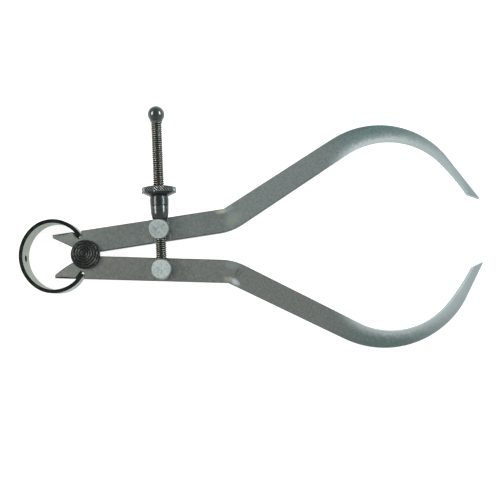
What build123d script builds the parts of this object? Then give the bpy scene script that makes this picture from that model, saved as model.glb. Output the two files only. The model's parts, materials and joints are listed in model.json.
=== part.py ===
# Outside spring caliper, six inch size, lying on its back with its screw face up.
# X runs along the tool's centre line from the fulcrum to the tips.
# Y runs along the adjusting screw towards its ball end. Z points up, out of the front face.
# The origin is on the fulcrum's axis, in the outer face of its back flange. All sizes are in millimetres.
from build123d import *
from math import asin, cos, degrees, radians, sin, sqrt, tan
import os

# Fulcrum, a turned spool between the legs
core_radius = 3.0
flange_radius = 5.65
back_flange_radius = 4.4
flange_thickness = 1.5
flange_edge_break = 0.4
side_clearance = 0.1
running_clearance = 0.05

# Legs, flat bars bent to shape
leg_thickness = 4.0
leg_width = 9.0
leg_edge_offset = 0.45
rest_half_angle = 5.17
leg_edge_break = 0.25
bend_distance = 55.4
bend_inside_radius = 22.0
arm_angle = 24.05
arm_length = 50.0
jaw_root_width = 8.1
jaw_inner_lead = 2.5
jaw_span = 61.63
jaw_span_angle = 30.58
jaw_inner_run = 20.9
jaw_inner_run_angle = 128.0
upper_bevel_length = 22.1
upper_bevel_angle = 119.6
lower_bevel_length = 16.9
lower_bevel_angle = 114.1
tip_flat_length = 4.6
tip_flat_angle = 27.5

# Tails of the legs, behind the fulcrum
tail_length = 11.7
tail_end_width = 1.2
seat_back_angle = 140.0
seat_corner_share = 0.87
upper_tail_bow = 0.05
lower_tail_bow = -0.5
notch_mouth_back = 4.1
notch_mouth_front = 0.5
notch_depth = 3.35
notch_floor_back = 1.95
notch_floor_front = 0.5

# Bow spring, a bent strip whose tapered ends sit in the notches
spring_strip = 1.25
spring_width = 9.6
spring_back_reach = 25.3
spring_back_radius = 14.9
spring_shoulder_radius = 12.1
spring_back_turn = 51.8
spring_end_angle = 27.0
spring_end_width = 4.2
spring_taper_length = 8.0
spring_edge_break = 0.15
spring_hole_radius = 1.25

# Raised pad across each leg and the two studs that stand on it
stud_distance = 30.07
pad_height = 0.3
pad_width = 6.2
pad_flank = 0.4
stud_radius = 3.9
stud_edge_break = 0.35
stud_cap = 0.7
shank_radius = 2.25
rivet_radius = 2.75
rivet_height = 0.5
washer_radius = 4.2
washer_thickness = 1.0
assembly_gap = 0.02

# Adjusting screw with a ball end, pinned in the lower stud
screw_radius = 2.15
screw_height = 3.7
screw_lean = 1.4
screw_length = 56.4
screw_tail = 2.6
screw_end_break = 0.3
ball_radius = 3.2
ball_rise = 2.9
ball_neck_width = 0.1
ball_neck_length = 0.9
hole_clearance = 0.15
hole_slack = 0.6
pin_radius = 0.75
pin_depth = 5.4
pin_recess = 0.08

# Thrust sleeve and knurled nut on the screw
bearing_gap = 0.05
sleeve_length = 5.0
sleeve_end_radius = 2.9
sleeve_shoulder_radius = 3.3
sleeve_shoulder_length = 1.7
barrel_radius = 3.5
barrel_crown_radius = 3.6
barrel_length = 2.5
neck_radius = 3.45
neck_length = 1.0
rim_radius = 6.6
rim_lower_bevel = 1.45
rim_width = 1.9
rim_upper_bevel = 0.85
nut_top_radius = 3.1

# Heights and places that follow from the sizes above
leg_middle = flange_thickness + side_clearance + leg_thickness / 2
leg_front = leg_middle + leg_thickness / 2
leg_back = leg_middle - leg_thickness / 2
pad_top = leg_front + pad_height
screw_z = leg_front + screw_height
stud_offset = leg_edge_offset + leg_width / 2
stud_reach = sqrt(stud_distance**2 + stud_offset**2)
stud_half_angle = rest_half_angle + degrees(asin(stud_offset / stud_reach))
stud_x = stud_reach * cos(radians(stud_half_angle))
stud_y = stud_reach * sin(radians(stud_half_angle))
stud_spacing = 2 * stud_y
stud_top = screw_z + screw_radius + hole_clearance + stud_cap
outer_edge = leg_edge_offset + leg_width
hole_radius = screw_radius + hole_clearance

# The screw's own frame: its origin at the lower stud, with Z along the screw to the ball
screw_frame = Location((stud_x, -stud_y, screw_z)) * Rotation(0, 0, -screw_lean) * Rotation(-90, 0, 0)
bearing_station = stud_spacing / cos(radians(screw_lean)) + stud_radius + bearing_gap


def polar(length, angle):
    """Point at a length and an angle in degrees from the origin."""
    return Vector(length * cos(radians(angle)), length * sin(radians(angle)))


def turned(profile):
    """Solid turned about Z from a half profile of (radius, height) points in the XZ plane."""
    face = make_face(Polyline(*[(r, 0, z) for r, z in profile], close=True))
    return revolve(face, Axis.Z, 360)


def leg_outline(bevel_length, bevel_angle, tail_bow):
    """Outline of one leg in its own frame, with its straight root along X."""
    bend_outside = Vector(bend_distance, outer_edge)
    bend_inside = Vector(bend_distance + leg_width * tan(radians(arm_angle / 2)), leg_edge_offset)
    arm_end = bend_outside + polar(arm_length, arm_angle)
    arm_inner_end = arm_end + polar(jaw_inner_lead, arm_angle) + polar(jaw_root_width, arm_angle - 90)
    tip = arm_end + polar(jaw_span, -jaw_span_angle)
    tip_inside = tip + polar(tip_flat_length, 180 - tip_flat_angle)
    inner_run_start = tip + polar(jaw_inner_run, jaw_inner_run_angle)
    bevel_start = tip + polar(bevel_length, bevel_angle)
    inner_arc = TangentArc(arm_inner_end, inner_run_start, tangent=arm_inner_end - bend_inside)
    outer_arc = TangentArc(arm_end, bevel_start, tangent=polar(1, arm_angle))
    tail_tip = Vector(-tail_length, outer_edge)
    tail_inside = Vector(-tail_length, outer_edge - tail_end_width)
    seat_back = polar(seat_corner_share * core_radius, seat_back_angle)
    seat_front = Vector(core_radius / 2, leg_edge_offset)
    notch_floor = outer_edge - notch_depth
    face = make_face(Curve() + [
        Line(seat_front, bend_inside),
        Line(bend_inside, arm_inner_end),
        inner_arc,
        TangentArc(inner_run_start, tip_inside, tangent=inner_arc % 1),
        Polyline(tip_inside, tip, bevel_start),
        outer_arc,
        Polyline(
            arm_end, bend_outside,
            (-notch_mouth_front, outer_edge), (-notch_floor_front, notch_floor),
            (-notch_floor_back, notch_floor), (-notch_mouth_back, outer_edge),
            tail_tip, tail_inside),
        SagittaArc(tail_inside, seat_back, tail_bow),
        Line(seat_back, seat_front),
    ])
    inside_corner = face.vertices().sort_by_distance(bend_inside)[0]
    return fillet(inside_corner, bend_inside_radius)


def leg_pad():
    """Low pad with sloped flanks that crosses the leg's front face under its stud."""
    half = pad_width / 2
    root = leg_thickness / 2
    crest = root + pad_height
    outline = Polyline(
        (stud_distance - half - pad_flank, leg_edge_offset, root),
        (stud_distance - half, leg_edge_offset, crest),
        (stud_distance + half, leg_edge_offset, crest),
        (stud_distance + half + pad_flank, leg_edge_offset, root), close=True)
    return extrude(make_face(outline), amount=leg_width, dir=(0, 1, 0))


def make_leg(bevel_length, bevel_angle, tail_bow):
    """Upper leg at its rest angle; the lower leg is made the same way and mirrored."""
    outline = leg_outline(bevel_length, bevel_angle, tail_bow)
    leg = extrude(outline, amount=leg_thickness / 2, both=True)
    for flat_side in (0, -1):
        leg = chamfer(leg.faces().sort_by(Axis.Z)[flat_side].edges(), leg_edge_break)
    leg -= Cylinder(core_radius + running_clearance, 2 * leg_thickness)
    leg += leg_pad()
    leg -= Pos(stud_distance, stud_offset) * Cylinder(shank_radius + running_clearance, 3 * leg_thickness)
    return Pos(0, 0, leg_middle) * Rotation(0, 0, rest_half_angle) * leg


def make_fulcrum():
    """Spool turned in one piece, whose flanges keep the legs in line."""
    front = 2 * leg_middle
    core_top = front - flange_thickness
    spool = turned([
        (0, 0), (back_flange_radius, 0), (back_flange_radius, flange_thickness),
        (core_radius, flange_thickness),
        (core_radius, core_top), (flange_radius, core_top), (flange_radius, front), (0, front)])
    outer_rims = spool.edges().group_by(Axis.Z)
    return chamfer(outer_rims[0] + outer_rims[-1], flange_edge_break)


def spring_sector(start_angle, end_angle):
    """Piece of the upper shoulder of the bow, between two angles about its centre."""
    outer = spring_shoulder_radius
    inner = outer - spring_strip
    middle_angle = (start_angle + end_angle) / 2
    return make_face(Curve() + [
        ThreePointArc(polar(outer, start_angle), polar(outer, middle_angle), polar(outer, end_angle)),
        Line(polar(outer, end_angle), polar(inner, end_angle)),
        ThreePointArc(polar(inner, end_angle), polar(inner, middle_angle), polar(inner, start_angle)),
        Line(polar(inner, start_angle), polar(outer, start_angle)),
    ])


def make_bow_spring():
    """Strip bent to an oval bow from three tangent arcs, tapered towards both ends."""
    join_angle = 180 - spring_back_turn
    back_centre = Vector(spring_back_radius - spring_back_reach, 0)
    shoulder_centre = back_centre + polar(spring_back_radius - spring_shoulder_radius, join_angle)
    back = Pos(back_centre) * make_face(Curve() + [
        ThreePointArc(
            polar(spring_back_radius, join_angle), (-spring_back_radius, 0),
            polar(spring_back_radius, -join_angle)),
        Line(
            polar(spring_back_radius, -join_angle),
            polar(spring_back_radius - spring_strip, -join_angle)),
        ThreePointArc(
            polar(spring_back_radius - spring_strip, -join_angle), (spring_strip - spring_back_radius, 0),
            polar(spring_back_radius - spring_strip, join_angle)),
        Line(
            polar(spring_back_radius - spring_strip, join_angle),
            polar(spring_back_radius, join_angle)),
    ])
    upper = Pos(shoulder_centre) * spring_sector(spring_end_angle, join_angle)
    face = back + upper + mirror(upper, Plane.XZ)
    bow = extrude(face, amount=spring_width / 2, both=True)
    rims = bow.edges().filter_by(lambda e: abs(abs(e.center().Z) - spring_width / 2) < 0.01)
    bow = chamfer(rims, spring_edge_break)
    end_x = (shoulder_centre + polar(spring_shoulder_radius, spring_end_angle)).X
    taper_start = end_x - spring_taper_length
    half_width = spring_width / 2
    taper_face = make_face(Polyline(
        (taper_start, 0, half_width), (end_x, 0, spring_end_width / 2), (end_x, 0, spring_width),
        (taper_start, 0, spring_width), close=True))
    taper = extrude(taper_face, amount=spring_back_reach, both=True)
    bow -= taper
    bow -= mirror(taper, Plane.XY)
    bow -= Pos(-spring_back_reach, 0, 0) * Rotation(0, 90, 0) * Cylinder(spring_hole_radius, 4 * spring_strip)
    return Pos(0, 0, leg_middle) * bow


def stud_blank():
    """Round stud on the pad, with its shank through the leg and a riveted end behind it."""
    base = pad_top
    shank_end = leg_back - side_clearance - washer_thickness - assembly_gap
    rivet_end = shank_end - rivet_height
    return turned([
        (0, rivet_end), (rivet_radius - rivet_height, rivet_end), (rivet_radius, shank_end),
        (shank_radius, shank_end), (shank_radius, base), (stud_radius, base),
        (stud_radius, stud_top - stud_edge_break), (stud_radius - stud_edge_break, stud_top),
        (0, stud_top)])


def make_upper_stud():
    """Stud that the screw passes through, with a sideways slotted hole."""
    hole = extrude(
        SlotOverall(2 * (hole_radius + hole_slack), 2 * hole_radius),
        amount=stud_spacing + 2 * stud_radius)
    stud = Pos(stud_x, stud_y) * stud_blank()
    return stud - screw_frame * hole


def make_lower_stud():
    """Stud with a blind hole that holds the end of the screw and its pin."""
    stud = Pos(stud_x, -stud_y) * stud_blank()
    bore = Pos(0, 0, -screw_tail - assembly_gap) * Cylinder(
        screw_radius + assembly_gap, 2 * stud_radius + screw_tail,
        align=(Align.CENTER, Align.CENTER, Align.MIN))
    return stud - screw_frame * bore - pin_bore()


def pin_bore():
    """Hole for the pin, from the lower stud's face down through the screw."""
    return Pos(stud_x, -stud_y, stud_top - pin_depth - assembly_gap) * Cylinder(
        pin_radius + assembly_gap, 2 * pin_depth, align=(Align.CENTER, Align.CENTER, Align.MIN))


def make_screw_pin():
    """Plain pin that locks the screw in the lower stud."""
    return Pos(stud_x, -stud_y, stud_top - pin_depth) * Cylinder(
        pin_radius, pin_depth - pin_recess, align=(Align.CENTER, Align.CENTER, Align.MIN))


def make_washer(side):
    """Washer behind a leg, under the riveted end of its stud."""
    top = leg_back - side_clearance
    bore = shank_radius + assembly_gap
    ring = turned([
        (bore, top - washer_thickness), (washer_radius, top - washer_thickness),
        (washer_radius, top), (bore, top)])
    return Pos(stud_x, side * stud_y) * ring


def make_screw():
    """Screw shank and ball end turned in one piece; the thread's crests are the shank's radius."""
    ball_centre = screw_length + ball_rise
    neck_radius_at_ball = screw_radius + ball_neck_width
    neck_top = screw_length + ball_neck_length
    ball_join_radius = sqrt(ball_radius**2 - (ball_centre - neck_top)**2)
    shank = turned([
        (0, -screw_tail), (screw_radius - screw_end_break, -screw_tail),
        (screw_radius, screw_end_break - screw_tail), (screw_radius, screw_length),
        (neck_radius_at_ball, screw_length), (ball_join_radius, neck_top), (0, neck_top)])
    ball = Pos(0, 0, ball_centre) * Sphere(ball_radius)
    ball &= Pos(0, 0, neck_top) * Cylinder(
        2 * ball_radius, 4 * ball_radius, align=(Align.CENTER, Align.CENTER, Align.MIN))
    return screw_frame * (shank + ball) - pin_bore()


def make_thrust_sleeve():
    """Tapered sleeve between the upper stud and the nut."""
    bore = screw_radius + running_clearance
    end = bearing_station
    sleeve = turned([
        (bore, end), (sleeve_end_radius, end), (sleeve_shoulder_radius, end + sleeve_shoulder_length),
        (barrel_radius, end + sleeve_length), (bore, end + sleeve_length)])
    return screw_frame * sleeve


def make_adjusting_nut():
    """Nut with a barrel, a neck and a bevelled rim that carries the knurl."""
    bore = screw_radius + running_clearance
    start = bearing_station + sleeve_length + bearing_gap
    crown = start + barrel_length
    neck = crown + neck_length
    rim_start = neck + rim_lower_bevel
    rim_end = rim_start + rim_width
    top = rim_end + rim_upper_bevel
    nut = turned([
        (bore, start), (barrel_radius, start), (barrel_crown_radius, crown), (neck_radius, neck),
        (rim_radius, rim_start), (rim_radius, rim_end), (nut_top_radius, top), (bore, top)])
    return screw_frame * nut


pieces = {
    "fulcrum": make_fulcrum(),
    "bow_spring": make_bow_spring(),
    "upper_leg": make_leg(upper_bevel_length, upper_bevel_angle, upper_tail_bow),
    "lower_leg": mirror(make_leg(lower_bevel_length, lower_bevel_angle, lower_tail_bow), Plane.XZ),
    "upper_stud": make_upper_stud(),
    "lower_stud": make_lower_stud(),
    "upper_stud_washer": make_washer(1),
    "lower_stud_washer": make_washer(-1),
    "adjusting_screw": make_screw(),
    "screw_pin": make_screw_pin(),
    "thrust_sleeve": make_thrust_sleeve(),
    "adjusting_nut": make_adjusting_nut(),
}

os.makedirs("parts", exist_ok=True)
for name, piece in pieces.items():
    export_step(piece, f"parts/{name}.step")
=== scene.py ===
# Looks of the outside spring caliper: its pieces, finishes, light and camera.
# Lengths are in metres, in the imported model's own frame: X runs to the tips,
# Y along the screw to its ball, and Z out of the front face.
import bpy
import json
from math import asin, atan2, cos, degrees, pi, radians, sin
from mathutils import Matrix, Vector


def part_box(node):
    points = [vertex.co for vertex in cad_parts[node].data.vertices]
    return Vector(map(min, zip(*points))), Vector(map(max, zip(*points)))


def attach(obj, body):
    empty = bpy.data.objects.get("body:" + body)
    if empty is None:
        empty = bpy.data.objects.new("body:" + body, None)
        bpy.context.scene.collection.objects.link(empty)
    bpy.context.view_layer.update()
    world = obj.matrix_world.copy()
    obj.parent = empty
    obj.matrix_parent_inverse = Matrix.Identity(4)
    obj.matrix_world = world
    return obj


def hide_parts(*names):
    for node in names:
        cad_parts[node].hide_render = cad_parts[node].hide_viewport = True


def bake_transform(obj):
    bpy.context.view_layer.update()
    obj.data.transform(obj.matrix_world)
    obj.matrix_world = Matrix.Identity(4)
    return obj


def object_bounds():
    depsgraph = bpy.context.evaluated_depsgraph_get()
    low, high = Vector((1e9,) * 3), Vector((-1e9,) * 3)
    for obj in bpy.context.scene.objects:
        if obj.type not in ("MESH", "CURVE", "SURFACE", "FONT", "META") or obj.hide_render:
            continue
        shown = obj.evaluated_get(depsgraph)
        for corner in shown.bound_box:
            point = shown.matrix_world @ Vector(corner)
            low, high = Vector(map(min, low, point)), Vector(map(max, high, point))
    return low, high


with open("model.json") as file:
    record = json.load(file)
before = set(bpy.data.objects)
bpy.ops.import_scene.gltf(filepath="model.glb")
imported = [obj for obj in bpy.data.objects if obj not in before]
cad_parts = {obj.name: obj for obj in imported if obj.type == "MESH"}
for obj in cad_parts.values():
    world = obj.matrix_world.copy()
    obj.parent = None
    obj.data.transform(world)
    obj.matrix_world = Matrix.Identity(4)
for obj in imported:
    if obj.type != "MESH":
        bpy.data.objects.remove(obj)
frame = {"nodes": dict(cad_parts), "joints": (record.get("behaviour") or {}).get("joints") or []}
nodes = frame["nodes"]
cad_low, cad_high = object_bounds()
MM = 0.001

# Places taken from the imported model
joints = {joint["name"]: joint for joint in frame["joints"]}
screw_foot = Vector(joints["nut_spin"]["pos_m"])
screw_axis = Vector(joints["nut_spin"]["axis"]).normalized()
screw_turned = screw_axis.to_track_quat("Z", "X").to_matrix().to_4x4()
screw_line = Matrix.Translation(screw_foot) @ screw_turned
leg_middle = joints["upper_leg_swing"]["pos_m"][2]


def screw_station(y):
    """Distance along the screw's axis, from its foot, of the point at a given Y."""
    return (y - screw_foot.y) / screw_axis.y


# Screw and ball end
screw_radius = 2.15 * MM
screw_tail = 2.6 * MM
thread_pitch = 0.79375 * MM
thread_depth = 0.40 * MM
thread_steps = 28
ball_radius = 3.2 * MM
ball_rise = 2.9 * MM
ball_neck_width = 0.1 * MM
ball_neck_length = 0.9 * MM
neck_depth = 0.25 * MM
ball_station = screw_station(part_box("adjusting_screw")[1].y - ball_radius)
shank_end = ball_station - ball_rise

# Nut and sleeve. They lean with the screw, so their boxes are a little longer than they are.
nut_foot_lean = 0.09 * MM
nut_top_lean = 0.08 * MM
sleeve_foot_lean = 0.07 * MM
nut_bore = 2.2 * MM
bore_bevel_width = 0.25 * MM
bore_bevel_depth = 0.2 * MM
rim_radius = 6.598 * MM
rim_start_depth = 2.75 * MM
rim_end_depth = 0.85 * MM
rim_foot_bevel = 0.35 * MM
rim_top_bevel = 0.4 * MM
knurl_teeth = 42
knurl_rows = 6
knurl_depth = 0.24 * MM

# Outlines in millimetres: radius, and height over the foot or the top
nut_barrel = ((3.38, 0.0), (3.5, 0.12), (3.6, 2.4), (3.56, 2.6), (3.45, 3.35), (3.62, 3.6))
nut_crown = ((3.3, -0.03), (3.1, 0.0))
sleeve_side = (
    (2.75, 0.0), (2.9, 0.15), (3.08, 0.8), (3.3, 1.7), (3.4, 2.6), (3.46, 3.8), (3.5, 4.88),
    (3.38, 5.0))
sleeve_length = 5.0 * MM

# Fulcrum
flange_thickness = 1.5 * MM
core_radius = 3.0 * MM
back_flange_radius = 4.4 * MM
flange_rounding = 0.45 * MM
face_dish_share = 0.6
face_dish_depth = 0.02 * MM
pip_radius = 0.42 * MM
pip_edge_depth = 0.03 * MM
pip_depth = 0.25 * MM

# Washers and pin
washer_rounding = 0.12 * MM
pin_rounding = 0.08 * MM

# Bow spring: a back arc that goes over into a shoulder arc on each side. Points deeper under
# the outer face than strip_middle are on the inner face, which is drawn towards its centre.
bow_centre_x = -10.4 * MM
bow_radius = 14.9 * MM
shoulder_radius = 12.1 * MM
shoulder_start = radians(128.2)
strip_middle = 0.8 * MM
inner_face_scale = 0.984
inner_face_centre = (-11 * MM, 0, 0)

# Legs
arm_lean = radians(29.2)
bend_station = 54.3 * MM
tail_start = -1.2 * MM
pad_top = 5.6 * MM
jaw_centre = (118.4 * MM, 8.4 * MM)
jaw_inner_radius = 28.4 * MM

# Corners of the spring's notch on the upper leg, in millimetres, with the step that each one
# moves by: rear mouth, rear floor and front floor. The lower leg has them mirrored.
notch_corners = (
    ((-4.99, 8.91), (0.30, 0.03)), ((-2.55, 5.77), (0.15, 0.45)), ((-0.92, 5.92), (-0.05, 1.00)))
corner_reach = 0.3 * MM

# Painted light on the legs: painted highlights and shade of the dent that bending left
# at the bend, and painted shade along the tail's edges and the notch's flank. Place and half
# sizes in millimetres, lean in degrees, colour and strength
upper_leg_painted_light = (
    ((53.6, 13.5), (3.4, 1.3), 8, (0.72, 0.74, 0.62), 0.85),
    ((56.7, 14.6), (2.3, 1.6), 35, (0.40, 0.52, 0.54), 0.7),
    ((57.9, 10.2), (5.0, 3.2), 40, (0.45, 0.50, 0.43), 0.6),
    ((-8.6, 8.45), (4.2, 0.6), 5.2, (0.07, 0.05, 0.02), 0.8),
    ((-3.5, 7.4), (2.4, 0.6), -49, (0.07, 0.05, 0.02), 0.8))
lower_leg_painted_light = (
    ((56.9, -14.1), (3.2, 1.5), -40, (0.80, 0.90, 0.92), 0.95),
    ((54.3, -13.1), (2.6, 1.5), -12, (0.56, 0.58, 0.50), 0.7),
    ((56.2, -7.4), (4.4, 2.6), -10, (0.42, 0.50, 0.48), 0.6),
    ((58.0, -10.4), (2.6, 0.5), 60, (0.08, 0.10, 0.10), 0.6),
    ((59.2, -11.0), (2.4, 0.4), 50, (0.10, 0.11, 0.11), 0.5),
    ((-8.8, -8.60), (6.2, 0.75), -5.2, (0.008, 0.008, 0.008), 1.0))
# Painted spots whose half width is under narrow_mark have cleaner edges
narrow_mark = 1.0
narrow_raggedness = 0.2
wide_raggedness = 0.6

# Marks on the studs' faces: place from the middle and half sizes in millimetres,
# lean in degrees and brightness
upper_stud_marks = (
    ((-1.6, 0.4), (1.5, 0.5), -55, 0.30), ((-0.6, 0.3), (1.4, 0.45), 50, 0.34),
    ((1.2, 1.0), (1.6, 0.8), 30, 0.45))
lower_stud_marks = (
    ((-1.1, 0.5), (1.3, 0.5), -60, 0.42), ((-0.3, 0.0), (0.9, 0.45), -50, 1.0),
    ((0.2, -0.5), (1.0, 0.5), -30, 0.45), ((0.95, -0.1), (0.5, 1.0), -15, 1.0))
stud_mark_raggedness = 0.9


# Workshop helpers

weld_gap = 0.001 * MM
thread_weld_gap = 0.0005 * MM
rounding_angle = radians(35)


def clear_selection():
    bpy.ops.object.select_all(action="DESELECT")


def take_up(piece):
    """Make a piece the only selected and the active one."""
    clear_selection()
    piece.select_set(True)
    bpy.context.view_layer.objects.active = piece


def go_to(mode):
    bpy.ops.object.mode_set(mode=mode)


def weld(gap):
    """Merge the close points of the whole mesh that is being edited."""
    bpy.ops.mesh.select_all(action="SELECT")
    bpy.ops.mesh.remove_doubles(threshold=gap)


def cut(place, direction, **cleared):
    """Cut the whole mesh that is being edited at a plane, clear a side and close the cut."""
    bpy.ops.mesh.select_all(action="SELECT")
    bpy.ops.mesh.bisect(plane_co=place, plane_no=direction, use_fill=True, **cleared)


def face_outwards():
    """Turn all normals of the mesh that is being edited outwards."""
    bpy.ops.mesh.select_all(action="SELECT")
    bpy.ops.mesh.normals_make_consistent(inside=False)


def draw_profile(name, points):
    """Wire of (radius, height) points in the XZ plane, drawn point by point."""
    clear_selection()
    bpy.ops.mesh.primitive_plane_add(size=MM, location=(0, 0, 0))
    piece = bpy.context.object
    piece.name = piece.data.name = name
    go_to("EDIT")
    bpy.ops.mesh.select_mode(type="VERT")
    bpy.ops.mesh.select_all(action="SELECT")
    bpy.ops.mesh.merge(type="CENTER")
    bpy.ops.transform.translate(value=(points[0][0], 0, points[0][1]))
    for before, after in zip(points, points[1:]):
        step = (after[0] - before[0], 0, after[1] - before[1])
        bpy.ops.mesh.extrude_region_move(TRANSFORM_OT_translate={"value": step})
    go_to("OBJECT")
    return piece


def turn(name, points, steps):
    """Piece turned about Z from a profile that ends on the axis or closes on itself.

    Nothing in its mesh is left selected."""
    piece = draw_profile(name, points)
    go_to("EDIT")
    bpy.ops.mesh.select_all(action="SELECT")
    bpy.ops.mesh.spin(steps=steps, angle=2 * pi, center=(0, 0, 0), axis=(0, 0, 1))
    weld(weld_gap)
    face_outwards()
    bpy.ops.mesh.select_all(action="DESELECT")
    go_to("OBJECT")
    return piece


def raise_outline(outline, foot):
    """Outline in millimetres brought to metres, over the height of its foot."""
    return [(radius * MM, foot + height * MM) for radius, height in outline]


def arc_points(centre, radius, start, end, count):
    """Points of an arc in a profile, with angles in degrees from the radius direction."""
    angles = [radians(start + (end - start) * i / count) for i in range(count + 1)]
    return [(centre[0] + radius * cos(a), centre[1] + radius * sin(a)) for a in angles]


def settle(piece, place, smooth_angle):
    """Bring a finished piece to its place, with the place in its mesh, and smooth it."""
    take_up(piece)
    if place is not None:
        piece.matrix_world = place
    bpy.ops.object.transform_apply(location=True, rotation=True, scale=True)
    bpy.ops.object.shade_smooth_by_angle(angle=radians(smooth_angle))
    return piece


def copy_of(node, name):
    """Merged copy of a node's mesh as a piece of its own, without its stored normals."""
    clear_selection()
    piece = bpy.data.objects.new(name, nodes[node].data.copy())
    piece.data.name = name
    bpy.context.scene.collection.objects.link(piece)
    take_up(piece)
    piece.data.materials.clear()
    bpy.ops.mesh.customdata_custom_splitnormals_clear()
    go_to("EDIT")
    weld(weld_gap)
    go_to("OBJECT")
    return piece


def break_edges(piece, width):
    """Small rounding on the sharp edges of a piece."""
    take_up(piece)
    rounding = piece.modifiers.new("edge rounding", "BEVEL")
    rounding.width = width
    rounding.segments = 2
    rounding.limit_method = "ANGLE"
    rounding.angle_limit = rounding_angle
    rounding.harden_normals = False
    bpy.ops.object.modifier_apply(modifier=rounding.name)


def dress(piece, material, node, body):
    """Give a piece its finish and its body, and hide the node that it stands for."""
    piece.data.materials.clear()
    piece.data.materials.append(material)
    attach(piece, body)
    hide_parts(node)


# Shader helpers

class Shader:
    """Short way to place and join the nodes of a material or of a group."""

    def __init__(self, tree):
        self.tree = tree
        self.column = 0

    def add(self, kind, **settings):
        """New node, laid out in rows of twelve."""
        node = self.tree.nodes.new(kind)
        self.column += 1
        node.location = (180 * (self.column % 12), -220 * (self.column // 12))
        for key, value in settings.items():
            setattr(node, key, value)
        return node

    def join(self, source, target):
        self.tree.links.new(source, target)

    def give(self, socket, value):
        """Join a socket to another one, or set its value."""
        if isinstance(value, bpy.types.NodeSocket):
            self.join(value, socket)
        else:
            socket.default_value = value

    def feed(self, node, **inputs):
        """Give a node its inputs, by name with underscores for spaces, or by number after one."""
        for key, value in inputs.items():
            numbered = key[0] == "_"
            self.give(node.inputs[int(key[1:]) if numbered else key.replace("_", " ")], value)
        return node

    def calc(self, operation, a, b=0.0):
        node = self.add("ShaderNodeMath", operation=operation)
        self.feed(node, _0=a, _1=b)
        return node.outputs[0]

    def times(self, first, *others):
        """Product of values."""
        for other in others:
            first = self.calc("MULTIPLY", first, other)
        return first

    def noise(self, vector, scale, detail=2.0, roughness=0.5):
        node = self.add("ShaderNodeTexNoise")
        self.feed(node, Vector=vector, Scale=scale, Detail=detail, Roughness=roughness)
        return node.outputs["Fac"]

    def span(self, value, from_low, from_high, to_low=0.0, to_high=1.0, smooth=True):
        """Value brought from one range to another, and kept inside it."""
        shape = "SMOOTHSTEP" if smooth else "LINEAR"
        node = self.add("ShaderNodeMapRange", interpolation_type=shape)
        self.feed(node, _0=value, _1=from_low, _2=from_high, _3=to_low, _4=to_high)
        return node.outputs[0]

    def blend(self, factor, a, b, mode="MIX"):
        node = self.add("ShaderNodeMix", data_type="RGBA", blend_type=mode)
        self.feed(node, _0=factor, _6=a, _7=b)
        return node.outputs[2]

    def coat(self, base, mask, strength, colour, mode="MIX"):
        """Lay a colour over a base where a mask is, as strongly as told."""
        return self.blend(self.times(mask, strength), base, colour, mode)

    def mix_value(self, factor, a, b):
        node = self.add("ShaderNodeMix", data_type="FLOAT")
        self.feed(node, _0=factor, _2=a, _3=b)
        return node.outputs[0]

    def place(self, vector, shift=(0, 0, 0), turn_by=(0, 0, 0), stretch=(1, 1, 1)):
        """Object coordinates brought to a pattern's own frame."""
        node = self.add("ShaderNodeMapping", vector_type="TEXTURE")
        self.feed(node, Vector=vector, Location=shift, Rotation=turn_by)
        stretched = self.add("ShaderNodeMapping", vector_type="POINT")
        self.feed(stretched, Vector=node.outputs[0], Scale=stretch)
        return stretched.outputs[0]

    def axis_distance(self, vector, plane=(1, 1, 0)):
        """Distance from the axis that the plane's zero leaves out."""
        flat = self.add("ShaderNodeVectorMath", operation="MULTIPLY")
        self.feed(flat, _0=vector, _1=plane)
        length = self.add("ShaderNodeVectorMath", operation="LENGTH")
        self.feed(length, _0=flat.outputs[0])
        return length.outputs["Value"]

    def parts(self, vector):
        node = self.add("ShaderNodeSeparateXYZ")
        self.feed(node, Vector=vector)
        return node.outputs

    def facing(self):
        """Parts of the direction that the flat face itself looks in."""
        return self.parts(self.add("ShaderNodeNewGeometry").outputs["True Normal"])


def new_group(name, inputs, outputs):
    """Shader node group with float or vector inputs and float outputs."""
    tree = bpy.data.node_groups.new(name, "ShaderNodeTree")
    for label, kind, value in inputs:
        socket = tree.interface.new_socket(name=label, in_out="INPUT", socket_type=kind)
        if kind == "NodeSocketFloat":
            socket.default_value = value
    for label in outputs:
        tree.interface.new_socket(name=label, in_out="OUTPUT", socket_type="NodeSocketFloat")
    shader = Shader(tree)
    entry = shader.add("NodeGroupInput")
    leave = shader.add("NodeGroupOutput")
    return tree, shader, entry.outputs, leave.inputs


def make_steel_grain():
    """Mottling of rolled steel with fine grinding marks that run along the pattern's Y."""
    tree, shader, given, out = new_group("steel_grain", [
        ("Vector", "NodeSocketVector", None), ("Mottle Size", "NodeSocketFloat", 700.0),
        ("Mark Density", "NodeSocketFloat", 2200.0)], ["Mottle", "Marks", "Height"])
    broad = shader.noise(given["Vector"], given["Mottle Size"], 3.0, 0.6)
    speck = shader.noise(given["Vector"], shader.times(given["Mottle Size"], 3.1), 2.0, 0.65)
    mottle = shader.calc("ADD", shader.times(broad, 0.55), shader.times(speck, 0.45))
    along = shader.add("ShaderNodeMapping", vector_type="POINT")
    shader.feed(along, Vector=given["Vector"], Scale=(1.0, 0.045, 1.0))
    marks = shader.noise(along.outputs[0], given["Mark Density"], 2.0, 0.7)
    shader.join(mottle, out["Mottle"])
    shader.join(marks, out["Marks"])
    height = shader.calc("ADD", shader.times(marks, 0.6), shader.times(speck, 0.4))
    shader.join(height, out["Height"])
    return tree


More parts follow.
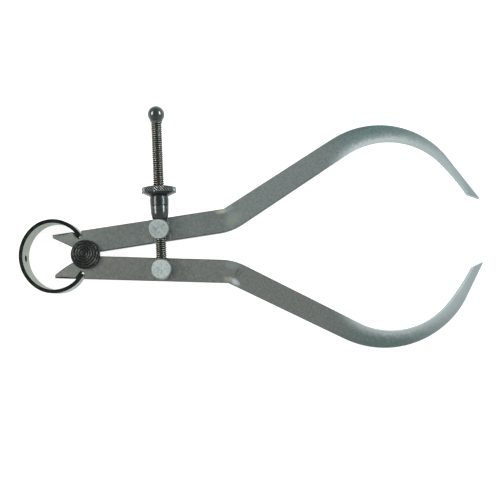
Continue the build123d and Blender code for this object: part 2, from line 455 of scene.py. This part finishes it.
def make_edge_wear():
    """Mask that is 1 on worn edges, found from how far a rounded normal leans away."""
    tree, shader, given, out = new_group("edge_wear", [
        ("Vector", "NodeSocketVector", None), ("Reach", "NodeSocketFloat", 0.25 * MM),
        ("Breaks", "NodeSocketFloat", 900.0)], ["Mask"])
    soft = shader.add("ShaderNodeBevel", samples=6)
    shader.join(given["Reach"], soft.inputs["Radius"])
    surface = shader.add("ShaderNodeNewGeometry")
    lean = shader.add("ShaderNodeVectorMath", operation="DOT_PRODUCT")
    shader.feed(lean, _0=soft.outputs[0], _1=surface.outputs["Normal"])
    edge = shader.span(lean.outputs["Value"], 0.995, 0.86)
    patches = shader.noise(given["Vector"], given["Breaks"], 2.0, 0.6)
    shader.join(shader.times(edge, shader.span(patches, 0.3, 0.6, 0.35, 1.0)), out["Mask"])
    return tree


def make_tool_rings():
    """Rings that a lathe tool leaves round the pattern's Z axis."""
    tree, shader, given, out = new_group("tool_rings", [
        ("Vector", "NodeSocketVector", None), ("Pitch", "NodeSocketFloat", 0.3 * MM),
        ("Waver", "NodeSocketFloat", 0.1)], ["Height", "Radius"])
    radius = shader.axis_distance(given["Vector"])
    waver = shader.times(shader.noise(given["Vector"], 500.0), given["Waver"])
    turns = shader.calc("ADD", shader.calc("DIVIDE", radius, given["Pitch"]), waver)
    wave = shader.calc("SINE", shader.times(turns, 2 * pi))
    uneven = shader.noise(given["Vector"], 1600.0)
    shader.join(shader.times(wave, shader.span(uneven, 0.3, 0.7, 0.3, 1.0)), out["Height"])
    shader.join(radius, out["Radius"])
    return tree


def make_worked_spot():
    """Ragged oval mask, 1 at the pattern's origin, with half lengths along its X and Y."""
    tree, shader, given, out = new_group("worked_spot", [
        ("Vector", "NodeSocketVector", None), ("Half Length", "NodeSocketFloat", 1.0 * MM),
        ("Half Width", "NodeSocketFloat", 1.0 * MM), ("Raggedness", "NodeSocketFloat", 0.6)],
        ["Mask"])
    spot = shader.parts(given["Vector"])
    shares = []
    for part, half in ((spot[0], given["Half Length"]), (spot[1], given["Half Width"])):
        share = shader.calc("ABSOLUTE", shader.calc("DIVIDE", part, half))
        shares.append(shader.calc("POWER", share, 2.0))
    distance = shader.calc("SQRT", shader.calc("ADD", *shares))
    ragged = shader.calc("SUBTRACT", shader.noise(given["Vector"], 1100.0), 0.5)
    distance = shader.calc("ADD", distance, shader.times(ragged, given["Raggedness"]))
    shader.join(shader.span(distance, 1.0, 0.2), out["Mask"])
    return tree


steel_grain = make_steel_grain()
edge_wear = make_edge_wear()
tool_rings = make_tool_rings()
worked_spot = make_worked_spot()


def start_material(name, metallic=1.0):
    """New material with its Principled shader and Object coordinates."""
    material = bpy.data.materials.new(name)
    material.use_nodes = True
    material.node_tree.nodes.clear()
    shader = Shader(material.node_tree)
    surface = shader.add("ShaderNodeBsdfPrincipled")
    surface.inputs["Metallic"].default_value = metallic
    output = shader.add("ShaderNodeOutputMaterial")
    shader.join(surface.outputs[0], output.inputs[0])
    where = shader.add("ShaderNodeTexCoord").outputs["Object"]
    return material, shader, surface, where


def use_group(shader, tree, **inputs):
    node = shader.add("ShaderNodeGroup", node_tree=tree)
    shader.feed(node, **inputs)
    return node.outputs


def raise_bump(shader, surface, height, distance, strength, under=None):
    """Relief on a surface, over another relief where one is given."""
    bump = shader.add("ShaderNodeBump")
    shader.feed(bump, Height=height, Distance=distance, Strength=strength)
    if under is not None:
        shader.join(under, bump.inputs["Normal"])
    shader.join(bump.outputs[0], surface.inputs["Normal"])
    return bump.outputs[0]


def grey(level, tint=(1.0, 1.0, 1.0)):
    return (level * tint[0], level * tint[1], level * tint[2], 1.0)


# Finishes

# cool white of the painted highlight and reflection on the jaws
jaw_highlight_tint = (0.88, 1.0, 0.985)


def spot_mask(shader, where, centre, half_size, lean, raggedness):
    """Oval mask on a face, in millimetres and degrees."""
    spot_frame = shader.place(
        where, shift=(centre[0] * MM, centre[1] * MM, 0), turn_by=(0, 0, radians(lean)))
    return use_group(
        shader, worked_spot, Vector=spot_frame, Half_Length=half_size[0] * MM,
        Half_Width=half_size[1] * MM, Raggedness=raggedness)["Mask"]


def make_leg_grain(shader, where, past_bend, side):
    """Mottle, marks and height of a grain that turns with the leg at its bend."""
    arm_frame = shader.place(where, turn_by=(0, 0, side * arm_lean))
    root = use_group(shader, steel_grain, Vector=where, Mottle_Size=1000.0, Mark_Density=1900.0)
    arm = use_group(
        shader, steel_grain, Vector=arm_frame, Mottle_Size=1250.0, Mark_Density=1700.0)
    return [shader.mix_value(past_bend, root[part], arm[part])
            for part in ("Mottle", "Marks", "Height")]


def grind_leg(shader, where, along, past_bend, mottle, marks, side, root_tint, arm_tint):
    """Base colour of a leg, which darkens and lightens a little from place to place."""
    root_steel = grey(0.305, root_tint)
    arm_steel = grey(0.355 + 0.045 * side, arm_tint)
    cloud_light = grey(0.39 + 0.05 * side, arm_tint)
    cold_stain = grey(0.32, (0.84, 1.0, 1.04))
    warm_stain = grey(0.30, (1.06, 1.0, 0.92))
    cloud = shader.noise(where, 90.0)
    stain = shader.noise(where, 330.0, 2.0, 0.6)
    base = shader.blend(past_bend, root_steel, arm_steel)
    base = shader.blend(shader.span(cloud, 0.3, 0.7, 0.0, 0.3), base, cloud_light)
    base = shader.blend(shader.span(stain, 0.50, 0.70, 0.0, 0.4), base, cold_stain)
    base = shader.blend(shader.span(stain, 0.48, 0.30, 0.0, 0.35), base, warm_stain)
    base = shader.blend(shader.span(mottle, 0.48, 0.62, 0.0, 0.6), base, grey(0.17, root_tint))
    base = shader.blend(shader.span(mottle, 0.47, 0.37, 0.0, 0.7), base, grey(0.46, arm_tint))
    base = shader.blend(shader.span(marks, 0.50, 0.70, 0.0, 0.25), base, grey(0.35, arm_tint))
    near_seat = shader.times(
        shader.span(along, 36 * MM, 8 * MM), shader.span(along, -5 * MM, 4 * MM))
    return shader.blend(near_seat, base, grey(0.86), mode="MULTIPLY")


def paint_jaw_light(shader, where, along, jaw_start, base, side):
    """Painted light and shade on the jaw, which turns colder and brighter towards its tip and
    its rounded inner edge: a painted cast and reflection of the cool lamp towards the tip,
    painted shade along the outer side, and a painted highlight and glint on the inner edge.
    """
    jaw_frame = shader.place(where, shift=(jaw_centre[0], side * jaw_centre[1], 0))
    jaw_radius = shader.axis_distance(jaw_frame)
    ragged = shader.noise(shader.place(where, stretch=(1.0, 1.0, 0.2)), 700.0, 3.0, 0.7)
    jaw_depth = shader.calc(
        "ADD", jaw_radius, shader.times(shader.calc("SUBTRACT", ragged, 0.5), 2.6 * MM))

    def depth_span(start, end):
        return shader.span(jaw_depth, jaw_inner_radius + start * MM, jaw_inner_radius + end * MM)

    inner_side = depth_span(4.2, 0.2)
    outer_side = depth_span(5.0, 8.0)
    # the cold mask carries a painted cast of the cool lamp, growing towards the tip
    cold = shader.span(along, 88 * MM, 115 * MM)
    outer_shade = grey(0.67 - 0.06 * side, (0.98, 1.0, 1.0))
    base = shader.blend(cold, base, (0.74, 0.93, 0.93, 1.0), mode="MULTIPLY")
    # painted shade along the jaw's outer side
    base = shader.coat(base, outer_side, cold, outer_shade, mode="MULTIPLY")
    # painted reflection of the cool lamp towards the tip
    tip_strength = 0.65 - 0.12 * side
    tip_reflection = shader.span(along, 118 * MM, 148 * MM)
    base = shader.coat(base, tip_reflection, tip_strength, grey(0.74, jaw_highlight_tint))
    # painted highlight along the rounded inner edge
    inner_highlight = shader.times(inner_side, jaw_start)
    base = shader.coat(base, inner_highlight, 0.75, grey(0.82, jaw_highlight_tint))
    # painted glint on the inner edge
    glint_strength = 0.65 + 0.25 * side
    inner_glint = shader.times(
        depth_span(2.2, 0.2), shader.span(along, 98 * MM, 108 * MM),
        shader.span(along, 142 * MM, 118 * MM))
    return shader.coat(base, inner_glint, glint_strength, grey(1.0, (0.95, 1.0, 0.985)))


def darken_walls(shader, along, height, facing, jaw_start, base):
    """Painted shade on the side walls, darkest on the tail and on the pad's sloped edge,
    and a painted highlight on the higher part of the jaw's walls.
    """
    # painted shade for the walls, the tail and the pad's edge, and a painted highlight for the
    # jaw's walls
    wall_shade = grey(0.10, (1.0, 1.0, 0.94))
    jaw_wall_highlight = grey(0.34, (0.78, 1.0, 0.98))
    tail_wall_shade = grey(0.025, (1.1, 1.0, 0.85))
    pad_edge_shade = grey(0.09, (0.92, 1.0, 0.98))
    upright = shader.calc("ABSOLUTE", facing[2])
    wall = shader.mix_value(
        jaw_start, shader.span(upright, 0.94, 0.74), shader.span(upright, 0.86, 0.62))
    tail_wall = shader.times(
        wall, shader.span(along, tail_start + 1.5 * MM, tail_start - 1.5 * MM))
    jaw_wall = shader.times(jaw_start, shader.span(height, 1.9 * MM, 2.9 * MM))
    base = shader.coat(base, wall, 0.8, shader.blend(jaw_wall, wall_shade, jaw_wall_highlight))
    base = shader.coat(base, tail_wall, 0.85, tail_wall_shade)
    # painted shade on the pad's sloped edge
    pad_edge = shader.times(
        shader.span(facing[2], 0.999, 0.97), shader.span(height, pad_top - 0.1 * MM, pad_top),
        shader.span(along, 42 * MM, 40 * MM))
    return shader.coat(base, pad_edge, 0.9, pad_edge_shade)


def make_leg_steel(name, side, root_tint, arm_tint, painted_spots):
    """Ground steel of a leg: side is 1 for the upper leg and -1 for the lower."""
    material, shader, surface, where = start_material(name)
    place = shader.parts(where)
    along, height = place[0], place[2]
    past_bend = shader.span(along, bend_station - 1.5 * MM, bend_station + 3 * MM)
    jaw_start = shader.span(along, 92 * MM, 104 * MM)
    mottle, marks, relief = make_leg_grain(shader, where, past_bend, side)
    base = grind_leg(
        shader, where, along, past_bend, mottle, marks, side, root_tint, arm_tint)
    # painted light and shade on the jaw
    base = paint_jaw_light(shader, where, along, jaw_start, base, side)
    # painted highlights and shade of the bend's dent, and painted shade along the tail's edges
    for centre, half_size, lean, colour, strength in painted_spots:
        raggedness = narrow_raggedness if half_size[1] < narrow_mark else wide_raggedness
        mask = spot_mask(shader, where, centre, half_size, lean, raggedness)
        base = shader.coat(base, mask, strength, (*colour, 1.0))
    facing = shader.facing()
    # painted shade on the walls, and a painted highlight on the jaw's walls
    base = darken_walls(shader, along, height, facing, jaw_start, base)
    shader.join(base, surface.inputs["Base Color"])
    ground = shader.span(mottle, 0.35, 0.65, 0.31, 0.39, smooth=False)
    sloped = shader.span(facing[2], 0.999, 0.97)
    shader.join(shader.mix_value(sloped, ground, 0.6), surface.inputs["Roughness"])
    raise_bump(shader, surface, relief, 0.01 * MM, 0.7)
    return material


def make_stud_steel(name, centre, level, marks):
    """Bright turned face of a stud, with a cut ring and small marks near its middle, a painted
    highlight round the rim of its face and painted shade on its chamfer and side wall.
    """
    material, shader, surface, where = start_material(name)
    face = shader.place(where, shift=(centre[0], centre[1], 0))
    rings = use_group(shader, tool_rings, Vector=face, Pitch=0.24 * MM, Waver=0.6)
    grain = use_group(shader, steel_grain, Vector=face, Mottle_Size=520.0, Mark_Density=1500.0)
    light_steel = grey(1.06 * level, (0.86, 1.0, 0.985))
    dark_steel = grey(0.70 * level, (0.82, 1.0, 1.0))
    base = shader.blend(shader.span(grain["Mottle"], 0.44, 0.58), light_steel, dark_steel)
    # painted highlight round the rim of the face
    rim_highlight = shader.span(rings["Radius"], 2.7 * MM, 3.7 * MM)
    base = shader.coat(base, rim_highlight, 0.6, grey(0.95, (0.96, 1.0, 0.94)))
    raised = None
    for step, half_size, lean, brightness in marks:
        place = (centre[0] / MM + step[0], centre[1] / MM + step[1])
        mask = spot_mask(shader, where, place, half_size, lean, stud_mark_raggedness)
        base = shader.coat(base, mask, 0.5, grey(brightness, (0.85, 1.0, 0.98)))
        raised = mask if raised is None else shader.calc("MAXIMUM", raised, mask)
    # painted shade on the chamfer and the side wall
    wall = shader.span(shader.calc("ABSOLUTE", shader.facing()[2]), 0.95, 0.8)
    base = shader.coat(base, wall, 0.9, grey(0.17, (0.97, 1.0, 0.92)))
    shader.join(base, surface.inputs["Base Color"])
    rough = shader.span(grain["Mottle"], 0.35, 0.65, 0.28, 0.36, smooth=False)
    shader.join(rough, surface.inputs["Roughness"])
    fine = raise_bump(shader, surface, rings["Height"], 0.0008 * MM, 0.8)
    raise_bump(shader, surface, raised, 0.04 * MM, 0.7, under=fine)
    return material


def make_black_finish(name, level, roughness, wear, worn_colour=(0.16, 0.165, 0.16)):
    """Black oxide on steel, a little blue, rubbed bright on its edges."""
    material, shader, surface, where = start_material(name, metallic=0.9)
    patches = shader.noise(where, 900.0, 3.0, 0.6)
    blue_black = grey(level, (0.86, 1.0, 1.02))
    grey_black = grey(level * 1.4, (0.92, 1.0, 0.95))
    base = shader.blend(shader.span(patches, 0.35, 0.7), blue_black, grey_black)
    worn = use_group(shader, edge_wear, Vector=where, Reach=0.2 * MM, Breaks=1200.0)["Mask"]
    base = shader.coat(base, worn, wear, (*worn_colour, 1.0))
    shader.join(base, surface.inputs["Base Color"])
    rough = shader.span(patches, 0.3, 0.7, roughness - 0.03, roughness + 0.08, smooth=False)
    shader.join(rough, surface.inputs["Roughness"])
    return material, shader, surface, where, base


def make_thread_steel():
    """Oiled steel thread: dark between the turns, rubbed bright on the crests."""
    material, shader, surface, where = start_material("thread_steel")
    screw_frame = shader.place(where, shift=screw_foot, turn_by=screw_line.to_euler())
    radius = shader.axis_distance(screw_frame)
    station = shader.parts(screw_frame)[2]
    patches = shader.noise(where, 700.0, 3.0, 0.6)
    crest = shader.span(radius, screw_radius - 0.24 * MM, screw_radius - 0.03 * MM)
    dark = shader.blend(
        shader.span(patches, 0.35, 0.65), grey(0.045, (1.0, 1.0, 0.9)),
        grey(0.07, (1.0, 1.0, 0.86)))
    bright = shader.blend(
        shader.span(patches, 0.40, 0.60), grey(0.30, (0.95, 1.0, 0.93)),
        grey(0.22, (1.0, 1.0, 0.88)))
    base = shader.coat(dark, crest, 0.9, bright)
    # the ball end is blacked like the nut
    ball_start = shader.span(station, shank_end - 0.1 * MM, shank_end + 0.1 * MM)
    blackening = shader.blend(
        shader.span(patches, 0.35, 0.7), grey(0.09, (0.84, 1.0, 1.0)),
        grey(0.12, (0.90, 1.0, 0.97)))
    shader.join(shader.blend(ball_start, base, blackening), surface.inputs["Base Color"])
    rough = shader.span(patches, 0.3, 0.7, 0.34, 0.42, smooth=False)
    shader.join(shader.mix_value(ball_start, rough, 0.20), surface.inputs["Roughness"])
    return material


def make_knurl_finish():
    """Blacked nut whose knurl is rubbed bright on its crests and whose bevels show tool marks."""
    material, shader, surface, where, base = make_black_finish(
        "knurl_oxide", 0.045, 0.24, 0.5, (0.30, 0.32, 0.31))
    nut_frame = shader.place(where, shift=screw_foot, turn_by=screw_line.to_euler())
    radius = shader.axis_distance(nut_frame)
    knurl_edge = rim_radius - rim_top_bevel
    rim_crest = shader.span(
        radius, rim_radius - 0.75 * knurl_depth, rim_radius - 0.1 * knurl_depth)
    bevel = shader.times(
        shader.span(radius, 3.7 * MM, 4.2 * MM),
        shader.span(radius, knurl_edge, knurl_edge - 0.1 * MM))
    groove = shader.span(radius, knurl_edge, knurl_edge + 0.1 * MM)
    base = shader.coat(base, bevel, 0.7, grey(0.11, (0.90, 1.0, 0.98)))
    base = shader.coat(base, groove, 0.8, grey(0.02, (0.9, 1.0, 1.0)))
    base = shader.coat(base, rim_crest, 0.9, grey(0.62, (0.90, 1.0, 0.97)))
    shader.join(base, surface.inputs["Base Color"])
    return material


def make_fulcrum_finish():
    """Blue black face with coarse facing rings that are cut a little off centre."""
    material, shader, surface, where, base = make_black_finish("fulcrum_oxide", 0.018, 0.30, 0.3)
    face = shader.place(where, shift=(-0.4 * MM, 0.45 * MM, 0))
    coarse = use_group(shader, tool_rings, Vector=face, Pitch=1.0 * MM, Waver=0.4)
    fine = use_group(shader, tool_rings, Vector=face, Pitch=0.3 * MM, Waver=0.5)
    rings = shader.calc("ADD", coarse["Height"], shader.times(fine["Height"], 0.10))
    middle = shader.times(shader.span(coarse["Radius"], 0.7 * MM, 0.3 * MM), 1.6)
    crests = shader.span(coarse["Height"], 0.0, 0.9, 0.0, 0.6)
    base = shader.blend(crests, base, grey(0.10, (0.74, 1.0, 0.98)))
    shader.join(base, surface.inputs["Base Color"])
    raise_bump(shader, surface, shader.calc("ADD", rings, middle), 0.09 * MM, 1.0)
    return material


def make_spring_steel():
    """Strip with bright faces and black rims and ends, and painted shade in its hole."""
    material, shader, surface, where = start_material("spring_steel", metallic=0.95)
    surface.inputs["Specular Tint"].default_value = (0.78, 0.84, 0.76, 1.0)
    rim = shader.span(shader.calc("ABSOLUTE", shader.facing()[2]), 0.15, 0.4)
    streaks = shader.noise(shader.place(where, stretch=(0.15, 0.15, 1.0)), 1500.0, 2.0, 0.6)
    patches = shader.noise(where, 500.0, 3.0, 0.6)
    black = shader.blend(
        shader.span(patches, 0.35, 0.7), grey(0.018, (0.78, 1.0, 1.04)),
        grey(0.036, (0.82, 1.0, 1.0)))
    bright_tint = (0.98, 1.0, 0.94)
    bright = shader.blend(
        shader.span(streaks, 0.42, 0.62, 0.0, 0.35), grey(0.34, bright_tint),
        grey(0.24, bright_tint))
    bow_frame = shader.place(where, shift=(bow_centre_x, 0, 0))
    outer_face = shader.span(
        shader.axis_distance(bow_frame), bow_radius - 1.0 * MM, bow_radius - 0.5 * MM)
    bright = shader.blend(outer_face, bright, grey(0.12, (0.88, 1.0, 0.94)))
    base = shader.blend(rim, bright, black)
    # painted shade in the hole at the back of the bow
    hole_frame = shader.place(where, shift=(0, 0, leg_middle))
    hole_shade = shader.span(shader.axis_distance(hole_frame, (0, 1, 1)), 1.45 * MM, 1.3 * MM)
    shader.join(shader.blend(hole_shade, base, grey(0.02)), surface.inputs["Base Color"])
    rough = shader.span(patches, 0.3, 0.7, 0.30, 0.42, smooth=False)
    shader.join(rough, surface.inputs["Roughness"])
    raise_bump(shader, surface, streaks, 0.01 * MM, 0.5)
    return material


# Pieces

def make_screw_piece():
    """Threaded shank and ball end of the adjusting screw."""
    turns = int((shank_end + screw_tail) / thread_pitch) + 3
    root = screw_radius - thread_depth
    start = -screw_tail - thread_pitch
    # one turn goes from the root up to the crest, along it, down and along the next root
    shares = (0.0, 0.38, 0.5, 0.88, 1.0)
    radii = (root, screw_radius, screw_radius, root, root)
    shank = draw_profile(
        "thread", [(radius, start + share * thread_pitch) for radius, share in zip(radii, shares)])
    winding = shank.modifiers.new("winding", "SCREW")
    winding.screw_offset = thread_pitch
    winding.iterations = turns
    winding.steps = winding.render_steps = thread_steps
    winding.use_merge_vertices = True
    winding.merge_threshold = thread_weld_gap
    bpy.ops.object.modifier_apply(modifier=winding.name)
    go_to("EDIT")
    weld(thread_weld_gap)
    cut((0, 0, -screw_tail), (0, 0, 1), clear_inner=True)
    cut((0, 0, shank_end), (0, 0, 1), clear_outer=True)
    face_outwards()
    go_to("OBJECT")
    neck_start = shank_end - neck_depth
    join_angle = -degrees(asin((ball_rise - ball_neck_length) / ball_radius))
    ball_profile = [
        (0, neck_start), (screw_radius - ball_neck_width, neck_start),
        (screw_radius + ball_neck_width, shank_end)]
    ball_profile += arc_points((0, ball_station), ball_radius, join_angle, 90, 20)
    ball_profile[-1] = (0, ball_station + ball_radius)
    ball = turn("ball", ball_profile, steps=64)
    take_up(ball)
    shank.select_set(True)
    bpy.context.view_layer.objects.active = shank
    bpy.ops.object.join()
    shank.name = shank.data.name = "threaded_screw"
    return settle(shank, screw_line, smooth_angle=40)


def make_nut_piece():
    """Nut with a barrel, a neck and a rim with a diagonal knurl."""
    box_low, box_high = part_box("adjusting_nut")
    foot = screw_station(box_low.y) + nut_foot_lean
    top = screw_station(box_high.y) - nut_top_lean
    rim_start = top - rim_start_depth
    rim_end = top - rim_end_depth
    row_step = (rim_end - rim_start) / (knurl_rows - 1)
    rows = [rim_start + row_step * row for row in range(knurl_rows)]
    bore_mouth = nut_bore + bore_bevel_width
    profile = [(nut_bore, foot + bore_bevel_depth), (bore_mouth, foot)]
    profile += raise_outline(nut_barrel, foot)
    profile += [(rim_radius - rim_foot_bevel, rim_start - 0.16 * MM)]
    profile += [(rim_radius, row) for row in rows]
    profile += [(rim_radius - rim_top_bevel, rim_end + 0.1 * MM)]
    profile += raise_outline(nut_crown, top)
    profile += [(bore_mouth, top), (nut_bore, top - bore_bevel_depth)]
    # three columns of points a tooth: one stays out and makes the crest, and each row shifts it
    columns = 3 * knurl_teeth
    nut = turn("knurled_nut", profile + profile[:1], columns)
    nearness = 0.02 * MM
    for vertex in nut.data.vertices:
        place = vertex.co
        row = min(range(knurl_rows), key=lambda i: abs(place.z - rows[i]))
        on_row = abs(place.z - rows[row]) < nearness
        on_rim = abs(place.xy.length - rim_radius) < nearness
        column = round(atan2(place.y, place.x) / (2 * pi / columns))
        vertex.select = on_row and on_rim and (column + row) % 3 != 0
    groove = 1 - knurl_depth / rim_radius
    go_to("EDIT")
    bpy.ops.transform.resize(value=(groove, groove, 1), center_override=(0, 0, 0))
    bpy.ops.mesh.select_mode(type="FACE")
    bpy.ops.mesh.select_all(action="DESELECT")
    go_to("OBJECT")
    for face in nut.data.polygons:
        outside = face.center.xy.length > 0.9 * rim_radius
        face.select = outside and rim_start < face.center.z < rim_end
    go_to("EDIT")
    bpy.ops.mesh.quads_convert_to_tris(quad_method="FIXED_ALTERNATE")
    go_to("OBJECT")
    return settle(nut, screw_line, smooth_angle=24)


def make_sleeve_piece():
    """Tapered sleeve under the nut, with softened ends."""
    foot = screw_station(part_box("thrust_sleeve")[0].y) + sleeve_foot_lean
    profile = [(nut_bore, foot)] + raise_outline(sleeve_side, foot)
    profile += [(nut_bore, foot + sleeve_length)]
    sleeve = turn("tapered_sleeve", profile + profile[:1], steps=72)
    return settle(sleeve, screw_line, smooth_angle=35)


def make_fulcrum_piece():
    """Spool with rounded rims and a centre pip in its front face."""
    low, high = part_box("fulcrum")
    back, front, rim = low.z, high.z, high.x
    profile = [(0, back)]
    profile += arc_points(
        (back_flange_radius - flange_rounding, back + flange_rounding), flange_rounding, -90, 0, 5)
    profile += [
        (back_flange_radius, back + flange_thickness), (core_radius, back + flange_thickness),
        (core_radius, front - flange_thickness), (rim, front - flange_thickness)]
    profile += arc_points(
        (rim - flange_rounding, front - flange_rounding), flange_rounding, 0, 90, 5)
    profile += [
        (face_dish_share * rim, front - face_dish_depth), (pip_radius, front - pip_edge_depth),
        (0, front - pip_depth)]
    return settle(turn("turned_fulcrum", profile, steps=96), None, smooth_angle=30)


def is_inner(point):
    """True for a point on the inner face of the bow."""
    back_centre = Vector((bow_centre_x, 0))
    shoulder_way = Vector((cos(shoulder_start), sin(shoulder_start)))
    shoulder_centre = back_centre + (bow_radius - shoulder_radius) * shoulder_way
    spot = Vector((point.x, abs(point.y)))
    centre, outer = back_centre, bow_radius
    if (spot - back_centre).angle(Vector((1, 0))) < shoulder_start:
        centre, outer = shoulder_centre, shoulder_radius
    return (spot - centre).length < outer - strip_middle


def make_spring_half(name, side):
    """One closed half of the bow, cut at its middle, with its inner face drawn in."""
    half = copy_of("bow_spring", name)
    go_to("EDIT")
    cut((0, 0, 0), (0, 1, 0), clear_inner=side > 0, clear_outer=side < 0)
    face_outwards()
    bpy.ops.mesh.select_mode(type="VERT")
    bpy.ops.mesh.select_all(action="DESELECT")
    go_to("OBJECT")
    for vertex in half.data.vertices:
        vertex.select = is_inner(vertex.co)
    go_to("EDIT")
    bpy.ops.transform.resize(
        value=(inner_face_scale, inner_face_scale, 1), center_override=inner_face_centre)
    go_to("OBJECT")
    settle(half, None, smooth_angle=35)
    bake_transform(half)
    return half


def close_notch(leg, side):
    """Draw the notch closer to the spring's end, as the real one is filed."""
    go_to("EDIT")
    bpy.ops.mesh.select_mode(type="VERT")
    for corner, step in notch_corners:
        bpy.ops.mesh.select_all(action="DESELECT")
        go_to("OBJECT")
        place = Vector((corner[0], side * corner[1])) * MM
        for vertex in leg.data.vertices:
            vertex.select = (vertex.co.xy - place).length < corner_reach
        go_to("EDIT")
        bpy.ops.transform.translate(value=(step[0] * MM, side * step[1] * MM, 0))
    go_to("OBJECT")


# Making the object

black_turned = make_black_finish("black_oxide", 0.070, 0.18, 0.4)[0]
knurl_finish = make_knurl_finish()
fulcrum_finish = make_fulcrum_finish()
thread_finish = make_thread_steel()
leg_steel = {
    "upper": make_leg_steel(
        "upper_leg_steel", 1, (0.90, 1.03, 0.99), (0.90, 1.04, 1.01), upper_leg_painted_light),
    "lower": make_leg_steel(
        "lower_leg_steel", -1, (0.94, 1.03, 0.965), (0.94, 1.03, 0.97), lower_leg_painted_light)}

stud_box = {side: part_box(f"{side}_stud") for side in ("upper", "lower")}
stud_centre = {side: (low + high) / 2 for side, (low, high) in stud_box.items()}
stud_steel = {
    "upper": make_stud_steel("upper_stud_steel", stud_centre["upper"], 0.80, upper_stud_marks),
    "lower": make_stud_steel("lower_stud_steel", stud_centre["lower"], 1.0, lower_stud_marks)}

dress(make_screw_piece(), thread_finish, "adjusting_screw", "screw_unit")
dress(make_nut_piece(), knurl_finish, "adjusting_nut", "nut_body")
dress(make_sleeve_piece(), black_turned, "thrust_sleeve", "sleeve_body")
dress(make_fulcrum_piece(), fulcrum_finish, "fulcrum", "frame")

# the halves of the spring aren't dressed like the rest: they get their finish but no body
spring_steel = make_spring_steel()
for half_name, side in (("bow_spring_upper", 1), ("bow_spring_lower", -1)):
    half = make_spring_half(half_name, side)
    half.data.materials.append(spring_steel)
    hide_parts("bow_spring")

for side, sign in (("upper", 1), ("lower", -1)):
    leg = copy_of(f"{side}_leg", f"{side}_leg_bar")
    close_notch(leg, sign)
    settle(leg, None, smooth_angle=25)
    dress(leg, leg_steel[side], f"{side}_leg", f"{side}_leg_body")

for side, body in (("upper", "upper_post"), ("lower", "screw_unit")):
    stud = settle(copy_of(f"{side}_stud", f"{side}_stud_post"), None, smooth_angle=30)
    dress(stud, stud_steel[side], f"{side}_stud", body)
    washer = settle(copy_of(f"{side}_stud_washer", f"{side}_washer"), None, smooth_angle=30)
    break_edges(washer, washer_rounding)
    dress(washer, stud_steel[side], f"{side}_stud_washer", body)
pin = settle(copy_of("screw_pin", "lock_pin"), None, smooth_angle=30)
break_edges(pin, pin_rounding)
dress(pin, stud_steel["lower"], "screw_pin", "screw_unit")


# Floor, light and camera

object_middle = (0.07, 0, 0)
floor_size = 4.0
floor_gap = 0.05 * MM
floor_glow = 0.84
room_light = 0.72
room_height = 0.35
overhead_light = 0.42
overhead_height = 0.98
lamp_size = (0.46, 0.15)


def make_floor():
    """Pale floor that glows to the camera and in reflections, and keeps the object's shadow."""
    clear_selection()
    floor_height = min(cad_low.z, 0.0) - floor_gap
    bpy.ops.mesh.primitive_plane_add(
        size=floor_size, location=(object_middle[0], 0, floor_height))
    floor = bpy.context.object
    floor.name = "floor"
    material = bpy.data.materials.new("white_floor")
    material.use_nodes = True
    material.node_tree.nodes.clear()
    shader = Shader(material.node_tree)
    paper = shader.add("ShaderNodeBsdfDiffuse")
    paper.inputs["Color"].default_value = grey(0.5)
    glow = shader.add("ShaderNodeEmission")
    ray = shader.add("ShaderNodeLightPath")
    seen = shader.calc("MAXIMUM", ray.outputs["Is Camera Ray"], ray.outputs["Is Glossy Ray"])
    seen = shader.calc("MAXIMUM", seen, ray.outputs["Is Transmission Ray"])
    shader.join(shader.times(seen, floor_glow), glow.inputs["Strength"])
    both = shader.add("ShaderNodeAddShader")
    output = shader.add("ShaderNodeOutputMaterial")
    shader.join(paper.outputs[0], both.inputs[0])
    shader.join(glow.outputs[0], both.inputs[1])
    shader.join(both.outputs[0], output.inputs[0])
    floor.data.materials.append(material)


def make_lamp(name, place, power, colour):
    """Tall narrow area lamp that is aimed at the middle of the object."""
    lamp = bpy.data.lights.new(name, "AREA")
    lamp.shape = "RECTANGLE"
    lamp.size, lamp.size_y = lamp_size
    lamp.energy = power
    lamp.color = colour
    holder = bpy.data.objects.new(name, lamp)
    bpy.context.scene.collection.objects.link(holder)
    holder.location = place
    way = Vector(object_middle) - Vector(place)
    holder.rotation_euler = way.to_track_quat("-Z", "Y").to_euler()


def make_world():
    """Even room light, a little darker straight above, where the camera stands."""
    world = bpy.data.worlds.new("studio")
    bpy.context.scene.world = world
    world.use_nodes = True
    world.node_tree.nodes.clear()
    shader = Shader(world.node_tree)
    direction = shader.add("ShaderNodeTexCoord").outputs["Generated"]
    height = shader.parts(direction)[2]
    level = shader.span(height, room_height, overhead_height, room_light, overhead_light)
    background = shader.add("ShaderNodeBackground")
    seen = shader.add("ShaderNodeLightPath").outputs["Is Camera Ray"]
    shader.join(shader.mix_value(seen, level, 1.0), background.inputs["Strength"])
    background.inputs["Color"].default_value = grey(1.0)
    output = shader.add("ShaderNodeOutputWorld")
    shader.join(background.outputs[0], output.inputs[0])


def make_camera():
    """Camera that looks straight down, turned a little, as the photograph was taken."""
    camera = bpy.data.cameras.new("camera")
    camera.sensor_width = 36.0
    camera.lens = 62.1
    camera.shift_x = -0.044
    camera.shift_y = 0.104
    camera.clip_start = 0.01
    camera.clip_end = 10.0
    holder = bpy.data.objects.new("camera", camera)
    bpy.context.scene.collection.objects.link(holder)
    holder.location = (70.8 * MM, -22.8 * MM, 339.6 * MM)
    holder.rotation_euler = (0, 0, radians(-3.564))
    bpy.context.scene.camera = holder


make_floor()
make_world()
make_lamp("warm_left", (-0.45, 0.16, 0.435), 2.9, (1.0, 0.94, 0.84))
make_lamp("cool_right", (0.66, 0.16, 0.39), 3.9, (0.80, 0.93, 1.0))
make_camera()
bpy.context.scene.view_settings.view_transform = "Standard"
